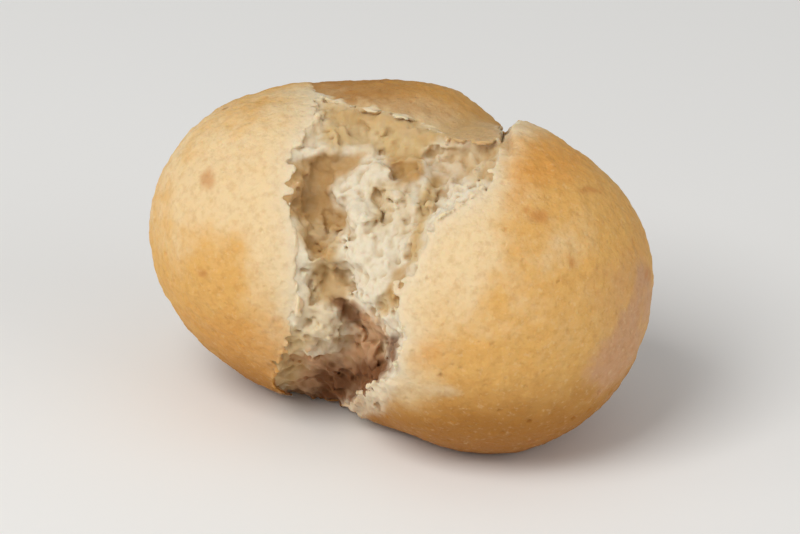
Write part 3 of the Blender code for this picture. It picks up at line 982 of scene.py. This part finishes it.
def scorching(points):
    """1 on small overbrowned spots of the crust's front, and on painted shade in one small crack."""
    side = points[:, 0] * 1000 + 0.5 * noise_at(points, 0.0016, shift=83.0)
    height = points[:, 1] * 1000 + 0.5 * noise_at(points, 0.0016, shift=89.0)
    brown = np.zeros(len(points))
    for at_side, at_height, reach_side, reach_height in SCORCHES:
        off = np.hypot((side - at_side) / reach_side, (height - at_height) / reach_height)
        brown = np.maximum(brown, smooth_step(1.2, 0.3, off))
    return brown * (points[:, 2] > TEAR_BACK)


def make_piece(name, points, faces, layers, material):
    """An object with a value of each layer at every point."""
    mesh = mesh_from(name, points, faces)
    for layer, values in layers.items():
        stored = mesh.attributes.new(layer, "FLOAT", "POINT")
        stored.data.foreach_set("value", values.astype(np.float32))
    mesh.shade_smooth()
    mesh.materials.append(material)
    return add_object(name, mesh)


# --- Materials -------------------------------------------------------------------------------------


class Signal:
    """One node's output. Python's operators on it add Math nodes."""

    def __init__(self, recipe, socket):
        self.recipe = recipe
        self.socket = socket

    def math(self, operation, *values):
        return self.recipe.node("ShaderNodeMath", {"operation": operation}, dict(enumerate(values)))

    def __add__(self, other):
        return self.math("ADD", self, other)

    def __radd__(self, other):
        return self.math("ADD", other, self)

    def __sub__(self, other):
        return self.math("SUBTRACT", self, other)

    def __rsub__(self, other):
        return self.math("SUBTRACT", other, self)

    def __mul__(self, other):
        return self.math("MULTIPLY", self, other)

    def __rmul__(self, other):
        return self.math("MULTIPLY", other, self)

    def rise(self, low, high):
        """0 below low, 1 above high, eased between them. Low may be the larger, for a fall."""
        if low > high:
            return 1 - self.rise(high, low)
        settings = {"interpolation_type": "SMOOTHSTEP"}
        inputs = {"Value": self, "From Min": low, "From Max": high}
        return self.recipe.node("ShaderNodeMapRange", settings, inputs)


class Recipe:
    """A material under construction."""

    def __init__(self, name):
        self.material = bpy.data.materials.new(name)
        self.material.use_nodes = True
        self.tree = self.material.node_tree
        self.tree.nodes.clear()

    def node(self, kind, settings=None, inputs=None, output=0):
        made = self.tree.nodes.new(kind)
        for name, value in (settings or {}).items():
            setattr(made, name, value)
        for key, value in (inputs or {}).items():
            if isinstance(value, Signal):
                self.tree.links.new(value.socket, made.inputs[key])
            else:
                made.inputs[key].default_value = value
        return Signal(self, made.outputs[output]) if made.outputs else None

    def layer(self, name):
        return self.node("ShaderNodeAttribute", {"attribute_name": name}, output="Fac")

    def texture(self, kind, settings, size, shift, **inputs):
        """A texture with features of this size, in the object's own place."""
        place = self.node("ShaderNodeTexCoord", output="Object")
        moved = self.node(
            "ShaderNodeVectorMath", {"operation": "ADD"}, {0: place, 1: (shift, shift, shift)}
        )
        return self.node(kind, settings, {"Vector": moved, "Scale": 1 / size, **inputs})

    def cloud(self, size, detail, roughness, shift):
        settings = {"noise_dimensions": "3D"}
        inputs = {"Detail": detail, "Roughness": roughness}
        return self.texture("ShaderNodeTexNoise", settings, size, shift, **inputs)

    def cells(self, size, shift):
        return self.texture("ShaderNodeTexVoronoi", {"feature": "F1"}, size, shift)

    def mixed(self, share, first, second):
        """Two colours mixed by a share from 0 to 1."""
        inputs = {0: share}
        for key, value in ((6, first), (7, second)):
            inputs[key] = value if isinstance(value, Signal) else (*value, 1)
        return self.node("ShaderNodeMix", {"data_type": "RGBA"}, inputs, output=2)

    def coated(self, base, *coats):
        """A colour with coats over it in order, each a share from 0 to 1 and a colour."""
        for share, coat in coats:
            base = self.mixed(share, base, coat)
        return base

    def bump(self, height, distance):
        return self.node("ShaderNodeBump", None, {"Height": height, "Distance": distance})

    def finish(self, **sockets):
        inputs = {name.replace("_", " "): value for name, value in sockets.items()}
        shader = self.node("ShaderNodeBsdfPrincipled", None, inputs)
        self.node("ShaderNodeOutputMaterial", None, {"Surface": shader})
        return self.material


def crust_colour(dough, finish):
    """Fried skin: pale beside the tear, golden away from it, browned on the hinge, and underneath
    browned with painted shade.
    """
    rim = dough.layer("rim_distance")
    drift = dough.cloud(0.009, 3, 0.6, 0.31)
    blotch = dough.cloud(0.0035, 4, 0.65, 0.57)
    # The toasted layer also carries one painted highlight as a pale spot.
    toasted = dough.layer("toasted") + (drift - 0.5) * 0.9 + (blotch - 0.5) * 1.1
    pale = (rim + (drift - 0.5) * 0.006 + toasted * 0.003).rise(0.0085, 0.0015)
    under = dough.layer("under") + (drift - 0.5) * 0.8 + (blotch - 0.5) * 0.3
    tan = dough.layer("tan")
    by_hinge = dough.layer("browned").rise(0.0, 0.2)
    hinge = dough.layer("browned") * (1 - tan * 0.85)
    toast = dough.cloud(0.0010, 3, 0.6, 0.83).rise(0.42, 0.75)
    flecks = dough.cloud(0.0007, 2, 0.6, 0.93).rise(0.55, 0.75)
    specks = dough.cells(0.0075, 0.19).rise(0.10, 0.03)
    frayed = (rim.rise(0.0016, 0.0002) + rim.rise(0.0040, 0.0005)) * toasted.rise(1.2, 0.4)
    return dough.coated(
        finish.golden,
        (toasted.rise(0.10, -0.80) * 0.9, finish.cream),
        (toasted.rise(0.0, 1.2) * 0.75, finish.toasted),
        (pale, finish.cream),
        # Underneath: browner from frying, with painted shade where the ball sits, darkest at the very
        # bottom.
        (under.rise(0.0, 1.0), finish.browned),
        (under.rise(0.8, 1.5) * 0.4, finish.speck),
        (hinge * (1.25 - blotch * 0.80), finish.browned),
        (dough.layer("blush") * 0.9, finish.blush),
        (toast * 0.26, finish.browned),
        (flecks * (1 - hinge) * 0.25, finish.cream),
        (specks * 0.55, finish.speck),
        (dough.layer("scorched") * 0.6, finish.scorch),
        (frayed * (1 - dough.layer("browned")) * 0.26, finish.crumb),
        # Near the hinge: the tan of peeled skin, and painted warm shade in the gaps below and beside
        # it.
        (tan * by_hinge * (1 - hinge) * 0.75, finish.tan),
        (dough.layer("hollow") * by_hinge * 0.7, finish.hollow),
        (dough.layer("lip") * 0.52, finish.crumb),
    )


def crumb_colour(dough, finish):
    """Soft white dough with painted warm shade in its dents, hollows and deep places, tan where it
    peeled and painted shade beside its crevices, and painted shade and shadow at its foot.
    """
    drift = dough.cloud(0.004, 3, 0.6, 0.23)
    deep = (dough.layer("sunk") + (drift - 0.5) * 0.003).rise(0.0030, 0.0065)
    spots = dough.cloud(0.0012, 3, 0.6, 0.67).rise(0.45, 0.75)
    dents = dough.layer("cupped").rise(-0.00001, 0.00020)
    patchy = dough.cloud(0.0024, 3, 0.6, 0.39).rise(0.30, 0.62)
    tan = dough.layer("tan")
    return dough.coated(
        finish.crumb,
        (spots * 0.18, finish.hollow),
        # The tan of peeled skin, and painted shade beside the crevices.
        (tan * (0.70 + patchy * 0.30), finish.tan),
        (tan * (1 - patchy) * 0.25, finish.hollow),
        # Painted warm shade: the deeper crumb and the hollow patches take the hollow colour.
        (deep * 0.4, finish.hollow),
        (dough.layer("hollow") * (0.82 + patchy * 0.18), finish.hollow),
        # Painted shade over darker crumb at the foot.
        (dough.layer("foot") * (0.75 + patchy * 0.25), finish.foot),
        # Painted warm shade in the dents.
        (dents * 0.48, finish.hollow),
        # Painted shadow at the foot, under the right edge and in the dark pocket.
        (dough.layer("crumb_shadow"), finish.crumb_shadow),
    )


def dough_material(finish):
    """Fried crust and torn crumb, with a grainy line where one meets the other."""
    dough = Recipe("fried_dough")
    grain = dough.cloud(0.0006, 4, 0.65, 0.41)
    torn = (dough.layer("torn") + (grain - 0.5) * 0.8).rise(0.35, 0.65)
    pits = dough.cells(0.0011, 0.73).rise(0.0, 0.35) * (1 - torn)
    return dough.finish(
        Base_Color=dough.mixed(torn, crust_colour(dough, finish), crumb_colour(dough, finish)),
        Roughness=0.62 + (grain - 0.5) * 0.2 + torn * 0.22,
        Normal=dough.bump(grain + pits * 0.5, 0.00016),
        Subsurface_Weight=0.3,
        Subsurface_Radius=(1.0, 0.5, 0.25),
        Subsurface_Scale=0.0018,
        Specular_IOR_Level=0.18,
    )


def floor_material(colour_value):
    floor = Recipe("studio_floor")
    return floor.finish(Base_Color=(*colour_value, 1), Roughness=0.9, Specular_IOR_Level=0.1)


# --- Operators -------------------------------------------------------------------------------------


class DOUGHBALL_OT_make_ball(bpy.types.Operator):
    """Carve the torn ball, one closed mesh with its browned crust and its crumb"""

    bl_idname = "dough_ball.make_ball"
    bl_label = "Torn ball"
    bl_options = {"REGISTER", "UNDO"}

    def execute(self, context):
        shape = context.scene.dough_ball_shape
        finish = context.scene.dough_ball_finish
        stretched, crumb, steep = tear_relief()
        points, faces = skinned_dough(shape, crumb, steep)
        side, height, out = points.T
        layers = {
            "sunk": bilinear(stretched, side, height) - out,
            "cupped": cupped(points, faces),
            "torn": torn_share(points, shape),
            "rim_distance": rim_distance(points),
            "browned": hinge_brown(points),
            "toasted": toasting_and_highlight(points),
            "under": underside(points),
            "scorched": scorching(points),
            **{tint: tinted(points, tint) for tint in TINTS},
        }
        layers["blush"] = layers["blush"] * smooth_step(*BLUSH_TURN, out)
        ball = make_piece("torn_ball", from_tear_axes(points), faces, layers, dough_material(finish))
        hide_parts(NODE)
        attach(ball, "root")
        return {"FINISHED"}


def add_floor(finish):
    mesh = bpy.data.meshes.new("floor")
    corners = [(-1, -1), (1, -1), (1, 1), (-1, 1)]
    corners = [(x * FLOOR_REACH, y * FLOOR_REACH, 0) for x, y in corners]
    mesh.from_pydata(corners, [], [(0, 1, 2, 3)])
    mesh.materials.append(finish)
    add_object("floor", mesh)


def add_light(name, azimuth, elevation, width, watts, tint):
    """A square soft light that faces the ball."""
    light = bpy.data.lights.new(name, "AREA")
    light.size = width
    light.energy = watts
    light.color = tint
    turn, rise = math.radians(azimuth), math.radians(elevation)
    away = Vector(
        (math.sin(turn) * math.cos(rise), -math.cos(turn) * math.cos(rise), math.sin(rise))
    )
    holder = add_object(name, light)
    holder.location = TARGET + away * LIGHT_DISTANCE
    holder.rotation_euler = away.to_track_quat("Z", "Y").to_euler()


def add_air():
    world = bpy.data.worlds.new("studio_air")
    world.use_nodes = True
    background = world.node_tree.nodes["Background"]
    background.inputs["Color"].default_value = (1, 1, 1, 1)
    background.inputs["Strength"].default_value = AIR_LIGHT
    bpy.context.scene.world = world


def add_camera(studio):
    camera = bpy.data.cameras.new("camera")
    camera.sensor_width = 36
    camera.lens = camera.sensor_width * studio.camera_distance / studio.view_width
    camera.clip_start = 0.01
    holder = add_object("camera", camera)
    away = Vector((0, -math.cos(studio.elevation), math.sin(studio.elevation)))
    holder.location = TARGET + away * studio.camera_distance
    holder.rotation_euler = (math.pi / 2 - studio.elevation, 0, 0)
    bpy.context.scene.camera = holder


class DOUGHBALL_OT_make_stage(bpy.types.Operator):
    """Set the ball on a plain pale floor, with soft lights and a camera"""

    bl_idname = "dough_ball.make_stage"
    bl_label = "Studio"
    bl_options = {"REGISTER", "UNDO"}

    def execute(self, context):
        studio = context.scene.dough_ball_studio
        context.scene.view_settings.view_transform = "Standard"
        add_floor(floor_material(studio.floor))
        for name, settings in LIGHTS.items():
            add_light(name, *settings)
        add_air()
        add_camera(studio)
        return {"FINISHED"}


class DOUGHBALL_PT_panel(bpy.types.Panel):
    """Sizes, colours and steps of the dough ball"""

    bl_label = "Dough ball"
    bl_idname = "DOUGHBALL_PT_panel"
    bl_space_type = "VIEW_3D"
    bl_region_type = "UI"
    bl_category = "Dough ball"

    def draw(self, context):
        for step in STEPS:
            self.layout.operator(step.bl_idname)
        for group in SETTINGS:
            box = self.layout.box()
            settings = getattr(context.scene, group)
            for name in settings.__annotations__:
                box.prop(settings, name)


STEPS = (DOUGHBALL_OT_make_ball, DOUGHBALL_OT_make_stage)
SETTINGS = {
    "dough_ball_shape": DoughBallShape,
    "dough_ball_finish": DoughBallFinish,
    "dough_ball_studio": StudioSettings,
}


def register():
    for group, kind in SETTINGS.items():
        bpy.utils.register_class(kind)
        setattr(bpy.types.Scene, group, bpy.props.PointerProperty(type=kind))
    for kind in (*STEPS, DOUGHBALL_PT_panel):
        bpy.utils.register_class(kind)


def unregister():
    for kind in (DOUGHBALL_PT_panel, *reversed(STEPS)):
        bpy.utils.unregister_class(kind)
    for group, kind in SETTINGS.items():
        delattr(bpy.types.Scene, group)
        bpy.utils.unregister_class(kind)


def main():
    register()
    bpy.ops.dough_ball.make_ball()
    bpy.ops.dough_ball.make_stage()
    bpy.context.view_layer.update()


if __name__ == "__main__":
    main()
